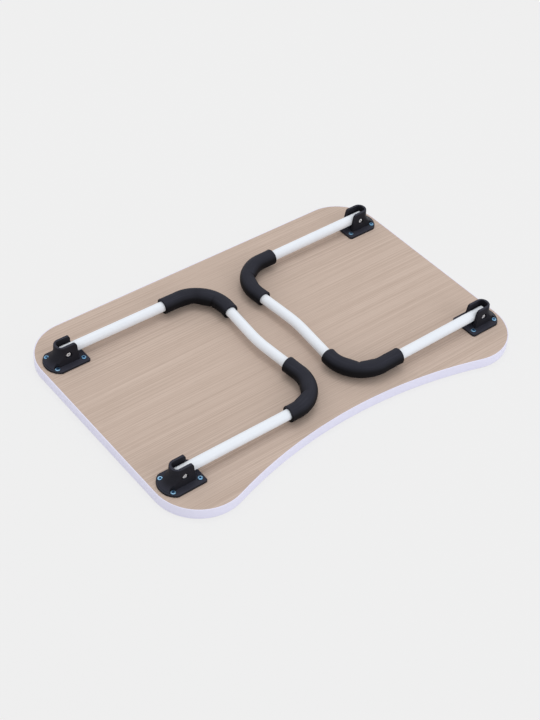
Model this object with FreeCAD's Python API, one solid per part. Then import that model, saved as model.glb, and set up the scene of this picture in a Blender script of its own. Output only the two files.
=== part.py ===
import FreeCAD
import Part
import math
import os

# Bed tray table lying face down with both U-shaped legs folded flat on its underside.
# X runs along the long side of the board, Y from the curved front edge to the back,
# Z up. The working face of the board is the plane Z = 0, so the underside, on which the
# sockets and the legs sit, faces up. All lengths are in millimetres, angles in degrees.

V = FreeCAD.Vector
UP, ACROSS, ORIGIN = V(0, 0, 1), V(0, 1, 0), V(0, 0, 0)

# ---------------------------------------------------------------- board
board_length = 600.0        # X
board_depth = 400.0         # Y
board_thickness = 16.0
laminate = 0.8              # decorative sheet on either face
band = 1.5                  # plastic edge band all round
band_round = 0.7            # rounding of the band's two outer edges
back_corner_radius = 65.0
front_corner_radius = 67.0
recess_depth = 36.0         # the front edge curves in by this much in the middle

# ---------------------------------------------------------------- folding sockets
pivot_inset = 38.0          # end of the board to the pivot axis
pivot_height = 16.5         # pivot axis above the underside of the board
socket_inset = 66.3         # front and back of the board to the sockets' mid-planes
plate_inner = 28.0          # pivot axis to the straight inner end of the base plate
plate_outer = 31.3          # pivot axis to the apex of its round outer end
plate_width = 45.0
plate_thickness = 3.2
plate_round = 1.3
plate_end_radius = 26.0
plate_corner = 4.0          # inner corners
plate_shoulder = 8.0        # where the sides run into the round end
tower_top = 31.5            # top of the cheeks above the underside of the board
tower_inner = 13.0          # pivot axis to the inner end of the cheeks, at the top
cheek = 3.8                 # cheek thickness at the top
cheek_draft = 2.1           # the cheeks' outer faces spread by this much at the foot
inner_draft = 2.5           # and their inner ends by this much
back_wall = 3.8             # wall behind the slot
cheek_corner = 4.5          # rounding of the cheeks' upper inner corner
rim_round = 0.9
slot_width = 13.8
slot_corner = 5.0
flare_radius = 26.6         # hollow sweep from the back of the tower out to the plate's rim
flare_height = 23.8         # top of that sweep above the plate
flare_foot = 24.4           # radius where the sweep ends, about the tower's back
flare_inset = 0.3           # the sweep starts this deep in the wall of the tower
flare_step = 0.1            # and its sides lie this far inside the planes of the cheeks
bearing_wall = 1.9          # cheek left under the pivot bolt's head and nut
recess_clearance = 0.9      # radial, round the nut

# ---------------------------------------------------------------- wood screws
screw_side_edge = 8.4       # screw to the long side of the plate
screw_inner_edge = 7.0      # inner pair to the inner end of the plate
screw_outer_edge = 10.8     # outer pair to the apex of the outer end
screw_head_diameter = 7.0
screw_head_height = 1.3
screw_head_round = 0.8
screw_shank = 3.5
screw_length = 14.0
screw_point = 3.0
screw_turn = 27.0           # each cross slot stands this much further round
screw_clearance = 0.25      # radial, in the plate
driver_room = 1.0           # from the screw head to the wall of the notch beside it
pilot_clearance = 0.05      # radial, in the board

# ---------------------------------------------------------------- pivot bolts
bolt_diameter = 4.0
bolt_clearance = 0.05       # radial, in the socket and in the leg
bolt_head_diameter = 6.6
bolt_head_height = 1.4
bolt_head_round = 0.6
bolt_proud = 0.6            # thread showing past the nut
bolt_chamfer = 0.5
nut_flats = 7.0
nut_height = 2.2

# cross recess of both kinds of head
cross_length = 3.6
cross_width = 0.9
cross_depth = 1.1
cross_middle = 2.3          # width of the tapered hole where the slots cross

# ---------------------------------------------------------------- legs
tube_diameter = 15.0
tube_wall = 1.2
bend_radius = 50.0          # corner bends, to the middle of the tube
bar_offset = 33.6           # middle of the board to the middle of the bowed cross bar
bow_angle = 5.2             # each half of the cross bar leans away by this much
bow_radius = 200.0          # soft bend in the middle of the cross bar
slot_clearance = 0.3        # each side of the tube's pressed end, between the cheeks
swing_clearance = 0.85      # between the swinging tube end and the back of the slot
stop_clearance = 0.3        # between a standing leg and the rim of the slot
flat_blend = 8.0            # the pressed end runs out into the round tube over this length
tube_end = 7.0              # the tube ends this far outwards of the pivot

# ---------------------------------------------------------------- foot sleeves
sleeve_diameter = 23.0
sleeve_clearance = 0.05     # radial, on the tube
sleeve_gap = 3.2            # folded legs stop this far off the board
# run of each sleeve along the side tube, and along the cross bar, beyond the corner bend
sleeve_runs = {
    "left_front": (11.5, 20.9),
    "left_back": (24.0, 8.4),
    "right_front": (30.5, 1.9),
    "right_back": (19.0, 13.4),
}

# ---------------------------------------------------------------- derived
pivot_x = board_length / 2 - pivot_inset
pivot_z = board_thickness + pivot_height
half_spacing = board_depth / 2 - socket_inset
leg_reach = pivot_x - bar_offset
screw_pitch = plate_width - 2 * screw_side_edge
screw_inner = plate_inner - screw_inner_edge
screw_outer = plate_outer - screw_outer_edge
# pressed tube end: two flat sides, half-round above and below, same girth as the tube
flat_width = slot_width - 2 * slot_clearance
flat_half_height = flat_width / 2 + math.pi * (tube_diameter - flat_width) / 4
flat_run = math.hypot(tower_inner, tower_top - pivot_height)
slot_back = math.hypot(tube_end, flat_half_height) + swing_clearance
tower_width_top = slot_width + 2 * cheek
tower_width_foot = tower_width_top + 2 * cheek_draft
tower_back_centre = slot_back + back_wall - tower_width_top / 2
nut_corner = nut_flats / math.sqrt(3)
recess_diameter = 2 * (max(nut_corner, bolt_head_diameter / 2) + recess_clearance)
recess_floor = slot_width / 2 + bearing_wall
# cross bar, from its middle towards one corner, as (distance from the pivot, side)
bow = math.radians(bow_angle)
bow_end = (leg_reach + bow_radius * (1 - math.cos(bow)), bow_radius * math.sin(bow))
bend_side = half_spacing - bend_radius
bar_run = (bend_side - bow_end[1] - bend_radius * math.sin(bow)) / math.cos(bow)
bar_end = (bow_end[0] + bar_run * math.sin(bow), bow_end[1] + bar_run * math.cos(bow))
bend_reach = bar_end[0] - bend_radius * math.cos(bow)
sleeve_axis_height = sleeve_diameter / 2 + sleeve_gap
leg_tilt = math.degrees(math.asin((pivot_height - sleeve_axis_height) / bar_end[0]))
# a standing leg leans out until its pressed end meets the rim of the slot
stop = (slot_back - stop_clearance, tower_top - pivot_height)
open_lean = math.degrees(math.acos(flat_half_height / math.hypot(*stop))
                         - math.atan2(stop[1], stop[0]))
SOCKETS = {
    "left_front": (-1, -1), "left_back": (-1, 1),
    "right_front": (1, -1), "right_back": (1, 1),
}


def face_of(edges):
    """Flat face inside a closed chain of edges."""
    return Part.Face(Part.Wire(Part.__sortEdges__(edges)))


def line(a, b):
    return Part.LineSegment(V(*a), V(*b)).toShape()


def arc(centre, radius, start, end):
    """Arc in the XY plane through the angle halfway between start and end (radians)."""
    at = [V(centre[0] + radius * math.cos(t), centre[1] + radius * math.sin(t), 0)
          for t in (start, (start + end) / 2, end)]
    return Part.Arc(*at).toShape()


# ---------------------------------------------------------------- board
def board_outline(inset):
    """Plan of the board, drawn in by inset: a hollow front edge and four round corners."""
    lobe_x = board_length / 2 - front_corner_radius
    lobe_y = -board_depth / 2 + front_corner_radius
    hollow = (lobe_x ** 2 / recess_depth + recess_depth) / 2 - front_corner_radius
    hollow_y = -board_depth / 2 + recess_depth - hollow
    turn = math.atan2(lobe_y - hollow_y, lobe_x)
    front = front_corner_radius - inset
    back = back_corner_radius - inset
    back_x = board_length / 2 - back_corner_radius
    back_y = board_depth / 2 - back_corner_radius
    side = board_length / 2 - inset
    rear = board_depth / 2 - inset
    edges = [
        arc((0, hollow_y), hollow + inset, turn, math.pi - turn),
        arc((-lobe_x, lobe_y), front, -turn, -math.pi),
        line((-side, lobe_y, 0), (-side, back_y, 0)),
        arc((-back_x, back_y), back, math.pi, math.pi / 2),
        line((-back_x, rear, 0), (back_x, rear, 0)),
        arc((back_x, back_y), back, math.pi / 2, 0),
        line((side, back_y, 0), (side, lobe_y, 0)),
        arc((lobe_x, lobe_y), front, 0, turn - math.pi),
    ]
    return face_of(edges)


def board_slab(inset, bottom, top):
    slab = board_outline(inset).extrude(UP * (top - bottom))
    slab.translate(UP * bottom)
    return slab


def screw_places(side_x, side_y):
    """Plan positions of one socket's four screws."""
    return [V(side_x * (pivot_x + along), side_y * half_spacing + half * screw_pitch / 2, 0)
            for along in (-screw_inner, screw_outer) for half in (-1, 1)]


def drill(slab):
    """Pilot holes for all sixteen screws."""
    radius = screw_shank / 2 + pilot_clearance
    depth = screw_length - plate_thickness
    holes = [Part.makeCylinder(radius, depth, place + UP * (board_thickness - depth))
             for sides in SOCKETS.values() for place in screw_places(*sides)]
    return slab.cut(Part.makeCompound(holes)).Solids[0]


def make_edge_band():
    outer = board_slab(0, 0, board_thickness)
    rims = [e for e in outer.Edges if abs(e.Vertexes[0].Z - e.Vertexes[-1].Z) < band]
    return outer.makeFillet(band_round, rims).cut(board_slab(band, 0, board_thickness))


# ---------------------------------------------------------------- sockets
def tower_section(inner, width, height):
    """Plan of the tower: straight cheeks with a half-round back."""
    half = width / 2
    c = tower_back_centre
    section = Part.Wire([
        line((c, half, 0), (-inner, half, 0)),
        line((-inner, half, 0), (-inner, -half, 0)),
        line((-inner, -half, 0), (c, -half, 0)),
        arc((c, 0), half, -math.pi / 2, math.pi / 2),
    ])
    section.translate(UP * height)
    return section


def make_plate():
    half = plate_width / 2
    centre = plate_outer - plate_end_radius
    body = Part.makeBox(plate_inner + centre, plate_width, plate_thickness,
                        V(-plate_inner, -half, 0))
    end = Part.makeCylinder(plate_end_radius, plate_thickness, V(centre, 0, 0))
    strip = Part.makeBox(plate_outer - centre, plate_width, plate_thickness, V(centre, -half, 0))
    plate = body.fuse(end.common(strip)).removeSplitter()
    upright = [e for e in plate.Edges if abs(e.Vertexes[0].Z - e.Vertexes[-1].Z) > plate_round]
    corners = [e for e in upright if e.CenterOfMass.x < 0]
    shoulders = [e for e in upright if e.CenterOfMass.x > 0]
    plate = plate.makeFillet(plate_corner, corners)
    near = [e for e in plate.Edges if any(e.CenterOfMass.isEqual(s.CenterOfMass, plate_round)
                                          for s in shoulders)]
    plate = plate.makeFillet(plate_shoulder, near)
    rim = [e for e in plate.Edges if all(abs(v.Z - plate_thickness) < plate_round / 2
                                         for v in e.Vertexes)]
    return plate.makeFillet(plate_round, rim)


def make_tower():
    foot = tower_section(tower_inner + inner_draft, tower_width_foot, plate_thickness)
    top = tower_section(tower_inner, tower_width_top, tower_top)
    tower = Part.makeLoft([foot, top], True, True)
    rim = [e for e in tower.Edges if all(abs(v.Z - tower_top) < rim_round / 2
                                         for v in e.Vertexes)
           and e.CenterOfMass.x > -tower_inner + rim_round]
    tower = tower.makeFillet(rim_round, rim)
    # side view of the cheeks with their rounded upper inner corner
    lean = math.atan2(inner_draft, tower_top - plate_thickness)
    reach = cheek_corner * math.tan((math.pi / 2 - lean) / 2)
    corner = V(-tower_inner, 0, tower_top)
    low = corner + V(-math.sin(lean), 0, -math.cos(lean)) * reach
    high = corner + V(reach, 0, 0)
    centre = high - UP * cheek_corner
    toward = (corner - centre).normalize() * cheek_corner
    wedge = face_of([Part.LineSegment(low, corner).toShape(),
                     Part.LineSegment(corner, high).toShape(),
                     Part.Arc(high, centre + toward, low).toShape()])
    wedge.translate(ACROSS * -tower_width_foot)
    return tower.cut(wedge.extrude(ACROSS * 2 * tower_width_foot))


def make_flare():
    """Hollow sweep of revolution about the tower's back, between its cheeks, and wider
    only beyond the outer screws, where it runs out to the plate's rim."""
    low, high = plate_thickness, plate_thickness + flare_height
    half_foot = tower_width_foot / 2
    half_high = half_foot - cheek_draft * flare_height / (tower_top - plate_thickness)
    start = half_high - flare_inset
    edge = start + flare_radius
    turn = math.acos((edge - flare_foot) / flare_radius)
    on_sweep = lambda t: V(edge - flare_radius * math.cos(t), 0, high - flare_radius * math.sin(t))
    brink = on_sweep(turn)
    profile = face_of([
        line((0, 0, low), (flare_foot, 0, low)),
        Part.LineSegment(V(flare_foot, 0, low), brink).toShape(),
        Part.Arc(brink, on_sweep(turn / 2), on_sweep(0)).toShape(),
        line((start, 0, high), (0, 0, high)),
        line((0, 0, high), (0, 0, low)),
    ])
    sides = Part.Face(Part.makePolygon([
        V(0, -half_foot + flare_step, low), V(0, half_foot - flare_step, low),
        V(0, half_high - flare_step, high), V(0, flare_step - half_high, high),
        V(0, -half_foot + flare_step, low)])).extrude(V(flare_foot, 0, 0))
    beyond = screw_outer - tower_back_centre + driver_room
    apron = Part.makeBox(flare_foot, plate_width, flare_height,
                         V(beyond, -plate_width / 2, low))
    flare = profile.revolve(ORIGIN, UP, 360).common(sides.fuse(apron))
    flare.translate(V(tower_back_centre, 0, 0))
    return flare


def make_slot():
    """Room between the cheeks, open to the top and to the inside, with a rounded back."""
    length = plate_inner + slot_back
    slot = Part.makeBox(length, slot_width, tower_top, V(-plate_inner, -slot_width / 2,
                                                         plate_thickness))
    back = [e for e in slot.Edges if abs(e.CenterOfMass.x - slot_back) < slot_corner / 2
            and abs(e.Vertexes[0].Z - e.Vertexes[-1].Z) > slot_corner]
    return slot.makeFillet(slot_corner, back)


def make_socket():
    """One moulded socket about its own pivot, outer end towards +X, standing on Z = 0."""
    body = make_plate().fuse([make_tower(), make_flare()])
    tools = [make_slot()]
    pivot = V(0, 0, pivot_height)
    bore = bolt_diameter / 2 + bolt_clearance
    tools.append(Part.makeCylinder(bore, plate_width, pivot - ACROSS * plate_width / 2, ACROSS))
    for side in (-1, 1):
        tools.append(Part.makeCylinder(recess_diameter / 2, plate_width,
                                       pivot + ACROSS * side * recess_floor, ACROSS * side))
        place = V(screw_outer, side * screw_pitch / 2, 0)
        tools.append(Part.makeCylinder(screw_head_diameter / 2 + driver_room, tower_top,
                                       place + UP * plate_thickness))
        for along in (-screw_inner, screw_outer):
            tools.append(Part.makeCylinder(screw_shank / 2 + screw_clearance, plate_thickness,
                                           V(along, side * screw_pitch / 2, 0)))
    return body.cut(Part.makeCompound(tools)).removeSplitter().Solids[0]


# ---------------------------------------------------------------- fasteners
def cross_recess(top):
    """Two crossed slots sunk into a head whose crown is at height top."""
    bar = Part.makeBox(cross_length, cross_width, 2 * cross_depth,
                       V(-cross_length / 2, -cross_width / 2, top - cross_depth))
    other = bar.copy()
    other.rotate(ORIGIN, UP, 90)
    middle = Part.makeCone(cross_width / 2, cross_middle / 2, cross_depth,
                           V(0, 0, top - cross_depth), UP)
    rise = Part.makeCylinder(cross_middle / 2, cross_depth, V(0, 0, top))
    return bar.fuse([other, middle, rise])


def make_screw():
    """Wood screw with its head's underside at Z = 0 and its point downwards."""
    half = screw_head_diameter / 2
    flat = half - screw_head_round
    side = screw_head_height - screw_head_round
    bulge = screw_head_round * math.sin(math.pi / 4)
    shank = screw_shank / 2
    profile = face_of([
        line((half, 0, 0), (half, 0, side)),
        Part.Arc(V(half, 0, side), V(flat + bulge, 0, side + bulge),
                 V(flat, 0, screw_head_height)).toShape(),
        line((flat, 0, screw_head_height), (0, 0, screw_head_height)),
        line((0, 0, screw_head_height), (0, 0, -screw_length)),
        line((0, 0, -screw_length), (shank, 0, screw_point - screw_length)),
        line((shank, 0, screw_point - screw_length), (shank, 0, 0)),
        line((shank, 0, 0), (half, 0, 0)),
    ])
    return profile.revolve(ORIGIN, UP, 360).cut(cross_recess(screw_head_height))


def make_socket_screws(side_x, side_y):
    screws = []
    for number, place in enumerate(screw_places(side_x, side_y)):
        screw = make_screw()
        screw.rotate(ORIGIN, UP, screw_turn * (number + side_x + 2 * side_y))
        screw.translate(place + UP * (board_thickness + plate_thickness))
        screws.append(screw)
    return Part.makeCompound(screws)


def make_bolt():
    """Pivot bolt along +Y with the middle of the socket at the origin."""
    seat = -recess_floor
    tip = recess_floor + nut_height + bolt_proud
    head = Part.makeCylinder(bolt_head_diameter / 2, bolt_head_height, ORIGIN, UP)
    crown = [e for e in head.Edges if len(e.Vertexes) == 1 and e.Vertexes[0].Z > bolt_head_round]
    head = head.makeFillet(bolt_head_round, crown).cut(cross_recess(bolt_head_height))
    head.rotate(ORIGIN, V(1, 0, 0), 90)
    head.translate(ACROSS * seat)
    shank = Part.makeCylinder(bolt_diameter / 2, tip - seat - bolt_chamfer, ACROSS * seat, ACROSS)
    point = Part.makeCone(bolt_diameter / 2, bolt_diameter / 2 - bolt_chamfer, bolt_chamfer,
                          ACROSS * (tip - bolt_chamfer), ACROSS)
    return head.fuse([shank, point]).removeSplitter()


def make_nut():
    points = [V(nut_corner * math.cos(math.radians(60 * k)), recess_floor,
                nut_corner * math.sin(math.radians(60 * k))) for k in range(7)]
    block = Part.Face(Part.makePolygon(points)).extrude(ACROSS * nut_height)
    return block.cut(Part.makeCylinder(bolt_diameter / 2, nut_height, ACROSS * recess_floor,
                                       ACROSS))


# ---------------------------------------------------------------- legs
def flat_section(half_width, half_height, at):
    """Pressed tube section at X = at: two flat sides joined by half-round top and bottom."""
    straight = half_height - half_width
    w = half_width
    turn = math.sqrt(0.5) * w
    return Part.Wire([
        line((at, w, -straight), (at, w, straight)),
        arc_through((at, w, straight), (at, turn, straight + turn), (at, 0, straight + w)),
        arc_through((at, 0, straight + w), (at, -turn, straight + turn), (at, -w, straight)),
        line((at, -w, straight), (at, -w, -straight)),
        arc_through((at, -w, -straight), (at, -turn, -straight - turn), (at, 0, -straight - w)),
        arc_through((at, 0, -straight - w), (at, turn, -straight - turn), (at, w, -straight)),
    ])


def arc_through(a, b, c):
    return Part.Arc(V(*a), V(*b), V(*c)).toShape()


def round_section(radius, at, straight, flat_half):
    """Round tube section split at the same places as the pressed one."""
    tip = math.atan2(straight, flat_half)
    angles = [-tip, tip, math.pi / 2, math.pi - tip, math.pi + tip, 3 * math.pi / 2,
              2 * math.pi - tip]
    spot = lambda t: (at, radius * math.cos(t), radius * math.sin(t))
    return Part.Wire([arc_through(spot(a), spot((a + b) / 2), spot(b))
                      for a, b in zip(angles, angles[1:])])


def leg_end(inset):
    """Pressed end of one side tube along X, with the pivot at the origin."""
    half = flat_width / 2
    straight = flat_half_height - half
    pressed = (half - inset, flat_half_height - inset)
    flat = Part.Face(flat_section(*pressed, tube_end)).extrude(V(-tube_end - flat_run, 0, 0))
    blend = Part.makeLoft([flat_section(*pressed, -flat_run),
                           round_section(tube_diameter / 2 - inset, -flat_run - flat_blend,
                                         straight, half)], True, True)
    return flat, blend


def rod(radius, start, end):
    """Straight solid rod between two points."""
    return Part.makeCylinder(radius, (end - start).Length, start, end - start)


def bent_rod(radius, centre, bend, start, sweep):
    """Solid rod bent about an upright axis, from the angle start on through sweep."""
    out = V(math.cos(start), math.sin(start), 0)
    disc = Part.Face(Part.Wire(Part.makeCircle(radius, centre + out * bend, UP.cross(out))))
    return disc.revolve(centre, UP, math.degrees(sweep))


def corner(radius, side_run, bar_length):
    """Front corner of a leg: a run of side tube, the bend, and a run of the cross bar."""
    bend_start = V(-bend_reach, -half_spacing, 0)
    bend_end = V(-bar_end[0], -bar_end[1], 0)
    along_bar = V(math.sin(bow), math.cos(bow), 0)
    return [
        rod(radius, bend_start + V(side_run, 0, 0), bend_start),
        bent_rod(radius, V(-bend_reach, -bend_side, 0), bend_radius, math.pi - bow,
                 math.pi / 2 + bow),
        rod(radius, bend_end, bend_end + along_bar * bar_length),
    ]


def make_leg_tube():
    """Bent steel tube of one leg in its own plane, legs towards -X, pivot axis on Y."""
    side_run = bend_reach - flat_run - flat_blend
    walls = []
    for inset in (0, tube_wall):
        radius = tube_diameter / 2 - inset
        half = corner(radius, side_run, bar_run)
        for piece in leg_end(inset):
            piece.translate(ACROSS * -half_spacing)
            half.append(piece)
        middle = bent_rod(radius, V(-leg_reach - bow_radius, 0, 0), bow_radius, -bow, 2 * bow)
        walls.append(middle.fuse(half + [piece.mirror(ORIGIN, ACROSS) for piece in half]))
    tube = walls[0].cut(walls[1])
    bore = Part.makeCylinder(bolt_diameter / 2 + bolt_clearance, board_depth,
                             ACROSS * -board_depth / 2, ACROSS)
    return tube.cut(bore).removeSplitter().Solids[0]


def make_sleeve(side_run, bar_length):
    """Soft foot sleeve over the front corner bend, in the leg's own plane."""
    outer, inner = [pieces[0].fuse(pieces[1:]) for pieces in (
        corner(sleeve_diameter / 2, side_run, bar_length),
        corner(tube_diameter / 2 + sleeve_clearance, side_run, bar_length))]
    return outer.cut(inner).Solids[0]


# ---------------------------------------------------------------- placing
def place_socket_part(shape, side_x, side_y, height):
    """Turn a socket part to its side of the board and set it at its corner."""
    if side_x < 0:
        shape.rotate(ORIGIN, UP, 180)
    shape.translate(V(side_x * pivot_x, side_y * half_spacing, height))
    return shape


def place_leg_part(shape, side_x):
    """Lay a leg part down from its pivot, then turn it to its side of the board."""
    shape.rotate(ORIGIN, ACROSS, -leg_tilt)
    if side_x < 0:
        shape.rotate(ORIGIN, UP, 180)
    shape.translate(V(side_x * pivot_x, 0, pivot_z))
    return shape


def build():
    parts = {
        "board_core": drill(board_slab(band, laminate, board_thickness - laminate)),
        "worktop_laminate": board_slab(band, 0, laminate),
        "underside_laminate": drill(board_slab(band, board_thickness - laminate,
                                               board_thickness)),
        "edge_band": make_edge_band(),
    }
    for name, (side_x, side_y) in SOCKETS.items():
        parts["socket_" + name] = place_socket_part(make_socket(), side_x, side_y,
                                                    board_thickness)
        parts["socket_screws_" + name] = make_socket_screws(side_x, side_y)
        at = V(side_x * pivot_x, side_y * half_spacing, pivot_z)
        for kind, maker in (("pivot_bolt_", make_bolt), ("pivot_nut_", make_nut)):
            parts[kind + name] = maker()
            parts[kind + name].translate(at)
        sleeve = make_sleeve(*sleeve_runs[name])
        if side_x * side_y > 0:
            sleeve = sleeve.mirror(ORIGIN, ACROSS)
        parts["foot_sleeve_" + name] = place_leg_part(sleeve, side_x)
    for side, side_x in (("left", -1), ("right", 1)):
        parts["leg_tube_" + side] = place_leg_part(make_leg_tube(), side_x)
    return parts


os.makedirs("parts", exist_ok=True)
for node, shape in build().items():
    shape.exportStep(os.path.join("parts", node + ".step"))
    print(node, len(shape.Solids), round(shape.Volume), shape.isValid())
print("open range", round(90 + leg_tilt + open_lean, 2), "pivot", pivot_x, pivot_z)
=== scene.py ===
# %% [markdown]
# # A folding bed tray table, lying on its face
#
# The real object is a laminated board, 600 by 400 mm, with a hollow in its front edge
# for the person in bed. Two U-shaped steel legs swing on bolts in four black plastic
# sockets, and fold flat on the underside, which faces up here.
#
# The solids of the board, the sockets, the fasteners and the tubes come from the packed
# model, and only get their finishes here. The soft foam sleeves on the corners of the
# legs are made again, because a plain solid tube doesn't show how foam creases where it
# goes round a bend.

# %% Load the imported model
import math
import bpy
import numpy as np
from mathutils import Matrix, Vector


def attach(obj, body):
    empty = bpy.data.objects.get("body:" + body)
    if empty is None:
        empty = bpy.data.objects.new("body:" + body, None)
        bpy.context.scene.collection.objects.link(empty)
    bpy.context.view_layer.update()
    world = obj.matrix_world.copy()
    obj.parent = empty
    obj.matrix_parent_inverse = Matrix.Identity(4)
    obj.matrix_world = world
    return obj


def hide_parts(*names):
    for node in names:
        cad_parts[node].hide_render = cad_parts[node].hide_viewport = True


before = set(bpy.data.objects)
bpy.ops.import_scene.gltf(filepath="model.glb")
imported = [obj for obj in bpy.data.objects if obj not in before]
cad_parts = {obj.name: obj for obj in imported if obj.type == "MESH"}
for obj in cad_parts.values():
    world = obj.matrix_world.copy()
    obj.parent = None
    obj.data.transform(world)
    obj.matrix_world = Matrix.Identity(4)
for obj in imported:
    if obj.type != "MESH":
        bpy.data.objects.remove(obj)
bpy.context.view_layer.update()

# %% [markdown]
# # The camera
#
# A camera can be set by eye, or worked out from the object's own corners in the
# photograph. The second way was used: seven numbers say where it looks, from which side,
# how far up, how far away, how it is rolled and how long its lens is. A long lens from
# nearly two metres keeps the far edge of the board almost as large as the near one.

# %% Camera
AIM = Vector((-0.03321, -0.02697, 0.016))
AZIMUTH, ELEVATION, ROLL = (math.radians(a) for a in (-41.6, 43.42, 4.67))
DISTANCE = 1.87282
LENS = 68.0


def camera_frame(azimuth, elevation, roll):
    """Right, up and back directions of a camera seen from that azimuth and elevation,
    then turned by roll about the line of sight."""
    back = Vector((math.sin(azimuth) * math.cos(elevation),
                   -math.cos(azimuth) * math.cos(elevation), math.sin(elevation)))
    right = Vector((0, 0, 1)).cross(back).normalized()
    up = back.cross(right)
    return (right * math.cos(roll) + up * math.sin(roll),
            up * math.cos(roll) - right * math.sin(roll), back)


right, up, back = camera_frame(AZIMUTH, ELEVATION, ROLL)
lens = bpy.data.cameras.new("camera")
lens.lens, lens.sensor_width, lens.sensor_fit = LENS, 36.0, "AUTO"
camera = bpy.data.objects.new("camera", lens)
turn = Matrix((right, up, back)).transposed().to_4x4()
camera.matrix_world = Matrix.Translation(AIM + back * DISTANCE) @ turn
bpy.context.scene.collection.objects.link(camera)
bpy.context.scene.camera = camera
print("camera at", [round(c, 3) for c in camera.matrix_world.translation])

# %% [markdown]
# # Shader maths written as sums
#
# A finish is a small network of nodes. Drawn by hand, a sum such as a - b * c takes two
# nodes and four wires. Here one class holds an output socket and turns Python's + - *
# into Math nodes, so a finish reads like the formula that it is. A second class holds the
# material, and adds any other node with its settings first and its sockets after them,
# because some settings change which sockets there are.

# %% One output socket as a number
class Link:
    """An output socket. Arithmetic on it adds Math nodes, also as in 1 + link."""

    def __init__(self, finish, socket):
        self.finish, self.socket = finish, socket

    def math(self, operation, *values):
        return self.finish.node("ShaderNodeMath", {"operation": operation},
                                dict(enumerate(values)))

    def __add__(self, other):
        return self.math("ADD", self, other)

    def __sub__(self, other):
        return self.math("SUBTRACT", self, other)

    def __mul__(self, other):
        return self.math("MULTIPLY", self, other)

    __radd__ = __add__

    def above(self, low, high):
        """0 below low, 1 above high, and a soft step between."""
        return self.finish.node("ShaderNodeMapRange", {"interpolation_type": "SMOOTHSTEP"},
                                {"Value": self, "From Min": low, "From Max": high})


# %% A material or a world, and its nodes
class Finish:
    """A node network. Colours are given in the 0 to 255 of a paint chart."""

    def __init__(self, owner):
        owner.use_nodes = True
        self.owner, self.tree = owner, owner.node_tree
        self.tree.nodes.clear()

    def node(self, kind, settings=(), sockets=(), output=0):
        """Adds a node: its settings first, then its sockets, by name or by number."""
        new = self.tree.nodes.new(kind)
        for name, value in dict(settings).items():
            setattr(new, name, value)
        for name, value in dict(sockets).items():
            if isinstance(value, Link):
                self.tree.links.new(value.socket, new.inputs[name])
            else:
                new.inputs[name].default_value = value
        return Link(self, new.outputs[output]) if len(new.outputs) else None

    def place(self, scale=(1, 1, 1)):
        """Object coordinates, stretched."""
        where = self.node("ShaderNodeTexCoord", output=3)
        return self.node("ShaderNodeMapping", {}, {"Vector": where, "Scale": scale})

    def noise(self, scale, detail=2.0, rough=0.5, at=None):
        """Cloudy noise from 0 to 1. scale is a number, or one for each axis, per metre."""
        steps = (scale,) * 3 if isinstance(scale, (int, float)) else scale
        return self.node("ShaderNodeTexNoise", {}, {
            "Vector": at or self.place(steps), "Scale": 1.0, "Detail": detail,
            "Roughness": rough})

    def blend(self, factor, a, b):
        """Colour a where factor is 0 and colour b where it is 1."""
        return self.node("ShaderNodeMix", {"data_type": "RGBA"},
                         {0: factor, 6: a, 7: b}, output=2)

    def bump(self, height, depth, strength=1.0):
        """Normals of a surface raised by height times depth, in metres."""
        return self.node("ShaderNodeBump", {}, {"Height": height, "Distance": depth,
                                                "Strength": strength})

    def surface(self, shader):
        kind = "World" if isinstance(self.owner, bpy.types.World) else "Material"
        self.node("ShaderNodeOutput" + kind, {}, {"Surface": shader})
        return self.owner


def paint(red, green, blue):
    """A paint-chart colour as the shader's linear one: each share to the power 2.4,
    after the small straight part near black."""
    share = [c / 255 for c in (red, green, blue)]
    return tuple(c / 12.92 if c < 0.04045 else ((c + 0.055) / 1.055) ** 2.4
                 for c in share) + (1.0,)


print("white paint", [round(c, 3) for c in paint(255, 255, 255)])

# %% [markdown]
# # Backdrop and floor
#
# The photograph has an even pale grey all round the object. More light would wash the
# object out, so the grey comes from the materials: rays that come from the camera, or
# that a glossy surface sends out, see the plain grey, and all other rays see a softer
# sky that lights the object. The floor mixes that grey with a real diffuse surface,
# which keeps a trace of the object's shadow.

# %% Backdrop and floor
PALE = paint(239, 239, 239)
SKY = 0.78            # strength of the sky that lights the object
PLAIN_SHARE = 0.82    # how much of the floor is plain grey, and not lit
FLOOR_HALF, FLOOR_DROP = 9, 0.0003    # half its width, and its depth under the board


def seen_directly(finish):
    """1 for rays from the camera, from a gloss or through glass, and 0 for the rest."""
    kinds = [finish.node("ShaderNodeLightPath", output=name)
             for name in ("Is Camera Ray", "Is Glossy Ray", "Is Transmission Ray")]
    return kinds[0].math("MAXIMUM", kinds[0], kinds[1].math("MAXIMUM", *kinds[1:]))


sky = Finish(bpy.data.worlds.new("studio"))
plain = sky.node("ShaderNodeBackground", {}, {"Color": PALE, "Strength": 1.0})
soft = sky.node("ShaderNodeBackground", {}, {"Color": (1, 1, 1, 1), "Strength": SKY})
bpy.context.scene.world = sky.surface(sky.node(
    "ShaderNodeMixShader", {}, {0: seen_directly(sky), 1: soft, 2: plain}))

ground = Finish(bpy.data.materials.new("pale floor"))
glow = ground.node("ShaderNodeEmission", {}, {"Color": PALE, "Strength": 1.0})
matt = ground.node("ShaderNodeBsdfDiffuse", {}, {"Color": PALE})
floor_mesh = bpy.data.meshes.new("floor")
floor_mesh.from_pydata([(x * FLOOR_HALF, y * FLOOR_HALF, -FLOOR_DROP)
                        for x, y in ((-1, -1), (1, -1), (1, 1), (-1, 1))],
                       [], [(0, 1, 2, 3)])
floor_mesh.materials.append(ground.surface(ground.node(
    "ShaderNodeMixShader", {},
    {0: seen_directly(ground) * PLAIN_SHARE, 1: matt, 2: glow})))
floor = bpy.data.objects.new("floor", floor_mesh)
bpy.context.scene.collection.objects.link(floor)
print("floor and backdrop", [round(c, 3) for c in PALE[:3]])

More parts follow.
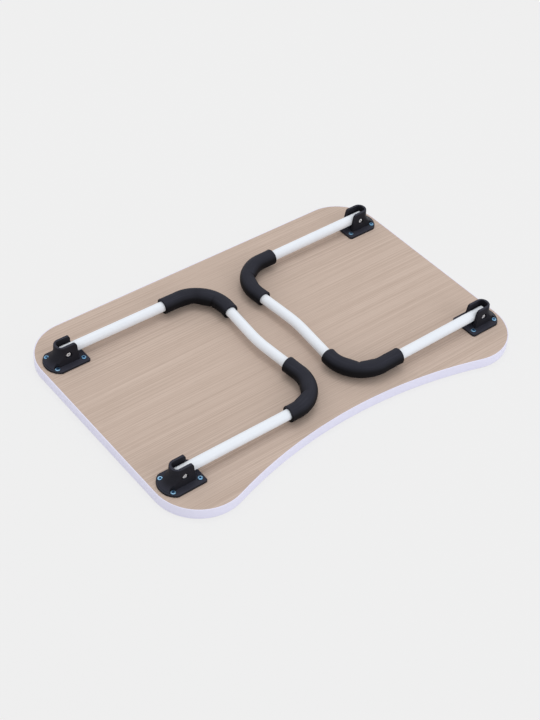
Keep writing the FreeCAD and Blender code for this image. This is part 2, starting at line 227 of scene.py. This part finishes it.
# %% [markdown]
# # Studio lamps
#
# Shadows in the photograph hug the tubes and the sleeves, and nothing throws a long one,
# so three quarters of the light is an even sky. The rest was found by rendering the
# object under one lamp at a time and adding those pictures up until the shadows matched:
# a large lamp overhead, a cool one in front, and a faint one behind on the left. Sky and
# lamps together light an upward face at a level of about one, at which a colour renders
# as it is written.

# %% Lamps
def soft_lamp(name, direction, distance, size, level, colour=(1, 1, 1)):
    """A square lamp aimed at the board. A lamp of power P at a distance d lights a face
    turned to it at the level P / (pi * d)**2, so P follows from the level."""
    data = bpy.data.lights.new(name, "AREA")
    data.size, data.color = size, colour
    data.energy = level * (math.pi * distance) ** 2
    lamp = bpy.data.objects.new(name, data)
    towards = Vector(direction).normalized()
    lamp.matrix_world = (Matrix.Translation(towards * distance)
                         @ towards.to_track_quat("Z", "Y").to_matrix().to_4x4())
    lamp.visible_camera = False
    bpy.context.scene.collection.objects.link(lamp)
    print(name, round(data.energy, 1), "W")


soft_lamp("overhead", (0.15, 0.2, 1.0), 3.0, 1.4, 0.18)
soft_lamp("cool front", (0.35, -1.0, 0.42), 3.2, 1.8, 0.15, (0.92, 0.95, 1.0))
soft_lamp("behind left", (-0.6, 0.9, 0.8), 3.2, 1.8, 0.05)

# %% [markdown]
# # Wood-print laminate
#
# Both faces of the board are a thin decorative sheet printed like a pale, even wood:
# fine streaks along the board, a little darker and lighter, with short pores and slow
# bands. The streaks are one cloud pattern pulled out along X by a small scale there and
# a large one across, bent slightly by a second slow cloud so that they wander.

# %% Laminate
WANDER = 0.006        # sideways drift of the streaks, in metres
PORE = paint(150, 128, 112)


def laminate(name, dark, light, gloss):
    """Printed sheet between two tones, with that specular level."""
    finish = Finish(bpy.data.materials.new(name))
    drift = finish.noise((3.0, 9.0, 9.0), detail=1.0)
    where = finish.place()
    shift = finish.node("ShaderNodeCombineXYZ", {}, {"Y": (drift - 0.5) * WANDER})
    bent = finish.node("ShaderNodeVectorMath", {"operation": "ADD"}, {0: where, 1: shift})

    def streaks(scale, detail, rough=0.55):
        pulled = finish.node("ShaderNodeMapping", {}, {"Vector": bent, "Scale": scale})
        return finish.noise(1, detail, rough, at=pulled)

    fine = streaks((2.6, 1000.0, 1000.0), 0.5, 0.5).above(0.22, 0.78)
    bands = streaks((1.6, 80.0, 80.0), 2.0)
    pores = streaks((30.0, 900.0, 900.0), 1.0).above(0.58, 0.70)
    tone = fine * 0.93 + bands * 0.07
    colour = finish.blend(tone, dark, light)
    colour = finish.blend(pores * 0.14, colour, PORE)
    return finish.surface(finish.node("ShaderNodeBsdfPrincipled", {}, {
        "Base Color": colour, "Roughness": 0.52 + fine * 0.10,
        "Specular IOR Level": gloss,
        "Normal": finish.bump(fine - pores * 0.6, 0.00006)}))


underside_print = laminate("underside laminate", paint(185, 165, 151),
                           paint(206, 187, 174), 0.15)
worktop_print = laminate("worktop laminate", paint(182, 160, 143),
                         paint(212, 192, 176), 0.30)
print("laminates", underside_print.name, worktop_print.name)

# %% [markdown]
# # Chipboard core
#
# Between the sheets is pressed wood chip. It hardly shows, only inside the screw holes,
# but a part that is reused may be cut open or seen without its edge. Chips are cells of
# mixed browns, flattened along the board's thickness.

# %% Chipboard
def chipboard():
    finish = Finish(bpy.data.materials.new("board core"))
    chips = finish.node("ShaderNodeTexVoronoi", {}, {
        "Vector": finish.place((240.0, 240.0, 700.0)), "Scale": 1.0}, output=1)
    grey = finish.node("ShaderNodeRGBToBW", {}, {"Color": chips})
    dust = finish.noise(1800.0, 2.0)
    tone = finish.blend(grey * 0.7 + dust * 0.3, paint(150, 120, 84), paint(208, 180, 138))
    return finish.surface(finish.node("ShaderNodeBsdfPrincipled", {}, {
        "Base Color": tone, "Roughness": 0.86, "Normal": finish.bump(grey, 0.0003)}))


core = chipboard()
print("core", core.name)

# %% [markdown]
# # Edge band
#
# The rim is a strip of pale lilac-white plastic, with its two edges rounded by the
# trimmer. Such a strip is almost even: a slow change of tone along it, the faint upright
# chatter of the trimming knife, and a satin skin.

# %% Edge band
def edge_strip():
    finish = Finish(bpy.data.materials.new("edge band"))
    slow = finish.noise(11.0, 2.0)
    chatter = finish.noise((260.0, 260.0, 12.0), 2.0)
    tone = finish.blend(slow * 0.7 + chatter * 0.3,
                        paint(225, 224, 243), paint(232, 230, 248))
    return finish.surface(finish.node("ShaderNodeBsdfPrincipled", {}, {
        "Base Color": tone, "Roughness": 0.42 + slow * 0.10, "Specular IOR Level": 0.25,
        "Normal": finish.bump(chatter, 0.00005)}))


band = edge_strip()
print("edge", band.name)

# %% [markdown]
# # Black moulded plastic
#
# The sockets are injection moulded, with the fine sparkle that a spark-eroded mould leaves
# on a part. The tone barely changes from place to place, and the pattern goes to the
# roughness and the bump more than the colour. Faces that look up are painted a greyer tone
# by the height of the surface's normal: painted light from above, so the flat tops show
# lighter than the sides.

# %% Socket plastic
def moulded_black():
    finish = Finish(bpy.data.materials.new("socket plastic"))
    grain = finish.noise(2600.0, 2.0, 0.6)
    handling = finish.noise(70.0, 3.0)
    # painted light from above: faces that look up are painted greyer by the height of the
    # normal
    facing = finish.node("ShaderNodeNewGeometry", output=1)
    level = finish.node("ShaderNodeSeparateXYZ", {}, {0: facing}, output=2).above(0.55, 1.0)
    tone = finish.blend(handling * 0.6 + grain * 0.4, paint(31, 31, 36), paint(41, 41, 48))
    tone = finish.blend(level * (0.55 + handling * 0.3), tone, paint(60, 61, 72))
    return finish.surface(finish.node("ShaderNodeBsdfPrincipled", {}, {
        "Base Color": tone, "Roughness": 0.42 + handling * 0.14, "Specular IOR Level": 0.06,
        "Normal": finish.bump(grain, 0.00005, 0.6)}))


plastic = moulded_black()
print("plastic", plastic.name)

# %% [markdown]
# # Blue zinc screws and bright pivot bolts
#
# Wood screws of this kind have a thin zinc coat passivated to a light blue, a little patchy
# from the barrel that they were tumbled in. The pivot bolts and nuts are plain bright
# nickel. Both are metals, so their colour is the colour of their reflection. The middle of
# each head, where the driver goes in, is painted dark: painted shade of the recess. All 16
# screws share one formula: absolute values fold the board's two symmetries, and then the
# rectangle that the screws of one socket stand on, until there is one screw left.

# %% Metals
PIVOT_X, PIVOT_Z, HALF_SPACING = 0.262, 0.0325, 0.1337    # of a pivot axis and a socket
# middle of one socket's four screws, and half their distance, along X and along Y
SCREWS_X, SCREWS_Y = (0.26175, 0.02075), (HALF_SPACING, 0.0141)


def folded(finish, axis, *centres):
    """One coordinate, made positive about zero and then about each centre in turn."""
    value = finish.node("ShaderNodeSeparateXYZ", {}, {0: finish.place()}, output=axis)
    value = value.math("ABSOLUTE", value)
    for centre in centres:
        value = value.math("ABSOLUTE", value - centre)
    return value


def plated(name, low, high, recess_shade, rough, metal, across, along, hollow):
    """across and along are the axis and the fold centres of the two coordinates of a head's
    face. A point's distance from the middle is the root of their squares added, and about
    hollow metres from there the painted shade of the recess gives way to bare metal."""
    finish = Finish(bpy.data.materials.new(name))
    patch = finish.noise(420.0, 3.0)
    tumbled = finish.noise(3000.0, 2.0)
    a, b = folded(finish, *across), folded(finish, *along)
    # painted shade: the middle of each head is darkened where the driver's recess lies
    middle = a.math("SQRT", a * a + b * b).above(hollow * 0.55, hollow * 1.1)
    bare_metal = finish.blend(patch.above(0.3, 0.7), low, high)
    return finish.surface(finish.node("ShaderNodeBsdfPrincipled", {}, {
        "Base Color": finish.blend(middle, recess_shade, bare_metal), "Metallic": metal,
        "Roughness": rough + patch * 0.12,
        "Normal": finish.bump(tumbled, 0.00003, 0.5)}))


# the third colour of each is the painted shade in the middle of the head
zinc = plated("zinc screw", paint(100, 152, 190), paint(156, 196, 222),
              paint(0, 52, 108), 0.30, 1.0, (0, *SCREWS_X), (1, *SCREWS_Y), 0.0019)
bright = plated("pivot steel", paint(236, 239, 244), paint(250, 251, 253),
                paint(96, 98, 102), 0.34, 0.4, (0, PIVOT_X), (2, PIVOT_Z), 0.0013)
print("metals", zinc.name, bright.name)

# %% [markdown]
# # White enamelled tube
#
# The legs are powder coated: thick, smooth, cool white paint with a soft orange peel
# and a gloss that isn't quite even. A powder coat doesn't chip much, so the wear is kept
# to faint grey rubbed patches.

# %% Leg paint
def powder_coat():
    finish = Finish(bpy.data.materials.new("leg paint"))
    peel = finish.noise(700.0, 1.0)
    rub = finish.noise((18.0, 18.0, 60.0), 4.0, 0.6).above(0.52, 0.80)
    tone = finish.blend(rub * 0.35, paint(234, 239, 246), paint(224, 231, 241))
    return finish.surface(finish.node("ShaderNodeBsdfPrincipled", {}, {
        "Base Color": tone, "Roughness": 0.36 + rub * 0.15, "Specular IOR Level": 0.3,
        "Normal": finish.bump(peel, 0.00004, 0.5)}))


enamel = powder_coat()
print("paint", enamel.name)

# %% [markdown]
# # Black foam
#
# The sleeves are closed-cell rubber foam with a dull skin. It scatters light softly, so it
# gets a high roughness and two sizes of relief: fine cells, and the shallow waves of a skin
# that was drawn over a tube. The upper side of the bend is painted greyer, a painted light
# from above, and on it lie dust and scuffs drawn out lengthwise. The flanks are painted
# near black as painted shade, and so are the creases and the bar's side of each crease. The
# mesh carries that painted top light for each point, and its place along and round the
# sleeve, so both patterns follow the bend.

# %% Foam
def foam():
    finish = Finish(bpy.data.materials.new("sleeve foam"))
    cells = finish.noise(1900.0, 3.0, 0.65)
    waves = finish.noise(120.0, 2.0)
    dust = finish.noise(36.0, 3.0).above(0.35, 0.75)
    # painted light: the mesh's painted top light greys the upper side; flanks and creases
    # stay black as painted shade
    painted_top_mask = finish.node("ShaderNodeAttribute", {"attribute_name": "painted_top_light"}, output=2)
    place = finish.node("ShaderNodeAttribute", {"attribute_name": "sleeve_place"}, output=1)
    drawn = finish.node("ShaderNodeMapping", {},
                        {"Vector": place, "Scale": (26.0, 5.0, 5.0)})
    scuffs = finish.noise(1, 3.0, 0.6, at=drawn).above(0.48, 0.72)
    mixed = painted_top_mask * (dust * 0.12 + scuffs * 0.22 + 0.74) + (cells - 0.5) * 0.12
    tone = finish.blend(mixed, paint(20, 20, 23), paint(50, 51, 60))
    return finish.surface(finish.node("ShaderNodeBsdfPrincipled", {}, {
        "Base Color": tone, "Roughness": 0.48 + waves * 0.14, "Specular IOR Level": 0.06,
        "Normal": finish.bump(cells * 0.35 + waves, 0.00018, 0.4)}))


skin = foam()
print("foam", skin.name)

# %% [markdown]
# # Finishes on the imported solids
#
# Each node keeps its shape, and its material slots get the finish that its name calls
# for. Names start with what the piece is, so the longest start that fits decides.

# %% Dress the solids
FINISHES = {
    "board_core": core, "worktop_laminate": worktop_print,
    "underside_laminate": underside_print, "edge_band": band, "socket_screws": zinc,
    "socket": plastic, "pivot": bright, "leg_tube": enamel, "foot_sleeve": skin,
}
for name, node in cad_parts.items():
    start = max((s for s in FINISHES if name.startswith(s)), key=len)
    node.data.materials.clear()
    node.data.materials.append(FINISHES[start])
print("dressed", len(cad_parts), "nodes")

# %% [markdown]
# # The line a sleeve follows
#
# Each sleeve is a length of foam tube pushed over the bend at one corner of a leg. It
# starts on the straight side tube, goes round the bend and ends on the cross bar, which
# leans back by the bow of the bar. In the plane of the leg that line is a straight run,
# an arc and another straight run. Here it is worked out from the length along it, so
# any number of points can be asked for at once.

# %% The bent line
BEND = 0.050                    # radius of the bend, to the middle of the tube
BOW = math.radians(5.2)         # lean of the cross bar
REACH = 0.184984                # pivot to where the bend starts
DIP, DIP_AT = 0.0018, 0.234778  # folded legs dip by this much, this far from the pivot
TILT = math.asin(DIP / DIP_AT)
SWEEP = math.pi / 2 + BOW
BEND_LENGTH = BEND * SWEEP


def bent_line(along):
    """Point and outward direction at each length along the line. The angle turned is
    that length over the radius, held between 0 and the whole sweep; what is left over on
    either side goes straight on."""
    angle = np.clip(along / BEND, 0, SWEEP)
    outward = np.stack([-np.sin(angle), np.cos(angle), np.zeros_like(angle)], -1)
    heading = np.stack([-np.cos(angle), -np.sin(angle), np.zeros_like(angle)], -1)
    centre = np.array([-REACH, HALF_SPACING - BEND, 0])
    beyond = along - angle * BEND
    return centre + BEND * outward + beyond[..., None] * heading, outward


def lay_down(points, side_x, side_y):
    """From the plane of a leg to its place: dip towards the board, then mirror to the
    side of the board and the end of the cross bar."""
    x, y, z = np.moveaxis(points, -1, 0)
    dipped = x * math.cos(TILT) - z * math.sin(TILT)
    lifted = x * math.sin(TILT) + z * math.cos(TILT)
    return np.stack([side_x * (PIVOT_X + dipped), side_y * y, PIVOT_Z + lifted], -1)


print("line round one bend", round(BEND_LENGTH * 1000, 1), "mm")

# %% [markdown]
# # The wall of a sleeve, opened out
#
# Carried along the line goes a ring, and its radius changes along the closed outline of
# the wall: along the outside, round the cut end, back through the bore and round the
# other end. Every point of that outline has a length along the line, a radius, and a
# weight that says how much of the foam's creasing it takes part in: all of it outside,
# none in the bore, which sits on the steel.

# %% Outline of the wall
OUTER, BORE = 0.0115, 0.00755
LIP, EASE = 0.0011, 0.0006      # rounding of the cut end, outside and in the bore
STEP, BORE_STEP = 0.0008, 0.0016  # between points along the outside and the bore
CLOSE, FINE_STEP = 0.006, 0.00025  # so near a notch the outside has finer steps
BORE_END = 0.0015               # the bore's own points start this far inside the cut


def wall_outline(start, end, notches):
    """Lengths, radii and weights round the wall, as three arrays. The outside has a
    point each 0.8 mm, and each 0.25 mm near a notch; each cut end is a quarter round
    outside and a small one at the bore."""
    coarse = np.arange(start + LIP, end - LIP, STEP)
    fine = [np.arange(n - CLOSE, n + CLOSE, FINE_STEP) for n in notches]
    outside = np.unique(np.concatenate([coarse, *fine]).round(6))
    outside = outside[(outside >= start + LIP) & (outside <= end - LIP)]
    t = np.linspace(0, math.pi / 2, 7)
    lip_run, lip_rise = LIP * np.sin(t), LIP * (1 - np.cos(t))
    ease_run, ease_rise = EASE * (1 - np.cos(t)), EASE * (1 - np.sin(t))
    bore = np.arange(end - BORE_END, start + BORE_END, -BORE_STEP)
    run = np.concatenate([outside, end - LIP + lip_run[1:], end - ease_run, bore,
                          start + ease_run[::-1], start + LIP - lip_run[:0:-1]])
    radius = np.concatenate([np.full(len(outside), OUTER), OUTER - lip_rise[1:],
                             BORE + ease_rise, np.full(len(bore), BORE),
                             BORE + ease_rise[::-1], OUTER - lip_rise[:0:-1]])
    weight = np.clip((radius - BORE) / (OUTER - BORE), 0, 1)
    return run, radius, weight


print("outline of one wall", len(wall_outline(-0.02, 0.1, [0.03])[0]), "points")

# %% [markdown]
# # Creases
#
# Foam that goes round a bend is short of room on the inside. It folds there into one or
# two sharp notches and swells a little beside them. A tube that was cut to be straight
# also keeps trying to be straight, so it stands off the steel on the outside of the bend
# and presses on it inside. A notch is deepest at its line and fades like the point of a
# V, so its shape is the exponential of minus the distance, while the swelling is a soft
# bell. One lip of the fold stands a little over the other, which is a smooth step across
# the line.

# %% How far the foam stands from a plain tube
CREASES = {
    # angle round the bend in degrees, depth and half width in mm, how far round the tube
    # it is centred, in degrees from the outside of the bend, and 1 for a sharp fold up to
    # 2 for a soft dimple
    "left_front": [(38, 3.0, 4.4, 168, 1.0)],
    "left_back": [(33, 1.3, 9.0, 140, 2.0), (66, 1.6, 2.2, 172, 1.0)],
    "right_front": [(38, 3.2, 3.6, 166, 1.0)],
    "right_back": [(50, 2.6, 4.6, 170, 1.0)],
}
# mm that the bend stands out at its flanks and on its outside, and goes in on its inside
FLANK, OUTSIDE, INSIDE = 0.35, 0.95, 0.35
# swelling, as a share of the notch's depth, and its distance from it and width, in mm
SWELL, SWELL_AT, SWELL_WIDTH = 0.22, 17, 9
OVERLAP = 0.20                  # step between the lips of a fold, as a share of its depth
FLARE, FLARE_RUN = 0.30, 3.0    # mm that the ends open by, and over which length
WAVES, WAVE = 5, 0.04           # how many slow waves, and the height of each in mm


def relief(run, around, start, end, creases, seed):
    """Height of the skin above the plain tube, in metres, for each length along and angle
    round it. It adds up: the full outside and flanks of the bend and its pressed inside,
    the notches, the swelling beside them, the raised lip, the ends opening slightly, and
    slow seeded waves. Also a painted top light from 0 to 1: a smooth step of the sine of
    the angle, lighter on top and less where painted shade lies in a crease and on the bar's
    side of it."""
    bend = np.sin(math.pi * np.clip(run / BEND_LENGTH, 0, 1)) ** 0.7
    outwards = np.cos(around)
    height = bend * (FLANK * np.sin(around) ** 2
                     + np.where(outwards > 0, OUTSIDE, INSIDE) * outwards)
    fold_shade = 0 * run
    for angle, depth, width, centre, soft in creases:
        side = around - np.where(around <= math.pi, math.radians(centre),
                                 math.radians(360 - centre))
        reach = np.clip(np.cos(side * 0.95), 0, 1) ** 1.6
        away = (run - BEND * math.radians(angle)) * 1000 - 2.0 * np.sin(around)
        height = height - depth * np.exp(-(np.abs(away) / width) ** soft) * reach
        bell = np.exp(-((np.abs(away) - SWELL_AT) / SWELL_WIDTH) ** 2)
        height = height + SWELL * depth * bell * reach
        over = reach * np.exp(-np.abs(away) / 8) * (2 - soft)
        height = height - OVERLAP * depth * np.tanh(away / 1.2) * over
        # painted shade: darkness in each crease, and a painted shadow on the bar's side of
        # it
        shade = 0.7 * np.exp(-(away / (1.8 * soft ** 2)) ** 2)
        beyond = 0.45 * np.exp(-(away / 9) ** 2) * (1 + np.tanh(away)) / 2
        fold_shade = np.maximum(fold_shade, depth / 3 * reach * np.maximum(shade, beyond))
    nearest = np.minimum(run - start, end - run) * 1000
    height = height + FLARE * np.exp(-nearest / FLARE_RUN)
    pick = np.random.default_rng(seed)
    for _ in range(WAVES):
        long, phase = pick.uniform(90, 260), pick.uniform(0, 6.28)
        twist = pick.integers(1, 4)
        height = height + WAVE * np.sin(run * long + phase) * np.cos(twist * around + phase)
    # painted top light: the upper side lighter, less where the painted shade of a crease
    # lies
    upper = np.clip((np.sin(around) - 0.20) / 0.72, 0, 1)
    painted_top_light = upper * upper * (3 - 2 * upper) * (1 - np.clip(fold_shade, 0, 1) * 0.85)
    return height / 1000, painted_top_light


print("creases", {k: len(v) for k, v in CREASES.items()})

# %% [markdown]
# # Making the four sleeves
#
# The outline and the angle round the tube make one grid of points that closes on itself
# both ways, so it needs no caps. Its faces come from the grid's own numbering. On the
# mirrored corners the same numbering would turn the faces inwards, so the volume is
# worked out, and where it is negative the faces are wound the other way.

# %% The sleeves
# mm that a sleeve covers before the bend and after it
RUNS = {"left_front": (11.5, 20.9), "left_back": (24.0, 8.4),
        "right_front": (30.5, 1.9), "right_back": (19.0, 13.4)}
ROUND = 96                      # points round the tube
SLANT = 0.0005                  # the knife's error at each cut end


def sleeve_grid(name, seed):
    """Grid of points of one sleeve, outline along and angle round, its painted top light,
    and its place: length along, cosine and sine of the angle. A point is the line's point,
    plus the radius times the outward and upright directions."""
    start, end = -RUNS[name][0] / 1000, BEND_LENGTH + RUNS[name][1] / 1000
    notches = [BEND * math.radians(c[0]) for c in CREASES[name]]
    run, radius, weight = wall_outline(start, end, notches)
    around = np.linspace(0, 2 * math.pi, ROUND, endpoint=False)
    run, around = run[:, None] + 0 * around, around + 0 * run[:, None]
    cut = SLANT * np.cos(around - seed) * (2 * (run - start) / (end - start) - 1)
    height, painted_top_light = relief(run, around, start, end, CREASES[name], seed)
    radius = radius[:, None] + weight[:, None] * height
    point, outward = bent_line(run + cut)
    upright = np.array([0.0, 0.0, 1.0])
    grid = point + radius[..., None] * (np.cos(around)[..., None] * outward
                                        + np.sin(around)[..., None] * upright)
    return grid, painted_top_light, np.stack([run + seed, np.cos(around), np.sin(around)], -1)


def closed_grid_mesh(name, grid):
    """Mesh of a grid that closes both ways, its faces turned outwards: the signed volume
    is the sum over faces of corner . (corner x corner) / 6."""
    rows, columns = grid.shape[:2]
    index = np.arange(rows * columns).reshape(rows, columns)
    faces = np.stack([index, np.roll(index, -1, 0), np.roll(np.roll(index, -1, 0), -1, 1),
                      np.roll(index, -1, 1)], -1).reshape(-1, 4)
    points = grid.reshape(-1, 3)
    a, b, c, d = (points[faces[:, k]] for k in range(4))
    volume = (np.einsum("ij,ij->i", a, np.cross(b, c)).sum()
              + np.einsum("ij,ij->i", a, np.cross(c, d)).sum()) / 6
    mesh = bpy.data.meshes.new(name)
    outwards = faces if volume > 0 else faces[:, ::-1]
    mesh.from_pydata(points.tolist(), [], outwards.tolist())
    mesh.polygons.foreach_set("use_smooth", np.ones(len(faces), bool))
    mesh.update()
    print(name, len(faces), "faces", round(abs(volume) * 1e9), "mm3")
    return mesh


for seed, corner in enumerate(RUNS):
    side_x = -1 if corner.startswith("left") else 1
    side_y = -1 if corner.endswith("front") else 1
    grid, painted_top_light, place = sleeve_grid(corner, seed)
    mesh = closed_grid_mesh("soft_sleeve_" + corner, lay_down(grid, side_x, side_y))
    # each point's painted top light, read by the foam's colour
    painted_top_mask = mesh.attributes.new("painted_top_light", "FLOAT", "POINT")
    painted_top_mask.data.foreach_set("value", painted_top_light.ravel())
    where = mesh.attributes.new("sleeve_place", "FLOAT_VECTOR", "POINT")
    where.data.foreach_set("vector", place.ravel())
    mesh.materials.append(skin)
    sleeve = bpy.data.objects.new("soft_sleeve_" + corner, mesh)
    bpy.context.scene.collection.objects.link(sleeve)
    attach(sleeve, corner.split("_")[0] + "_leg")
    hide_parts("foot_sleeve_" + corner)

# %% [markdown]
# How the picture is shown
#
# The picture is shown through the standard view transform.

# %% View transform
bpy.context.scene.view_settings.view_transform = "Standard"
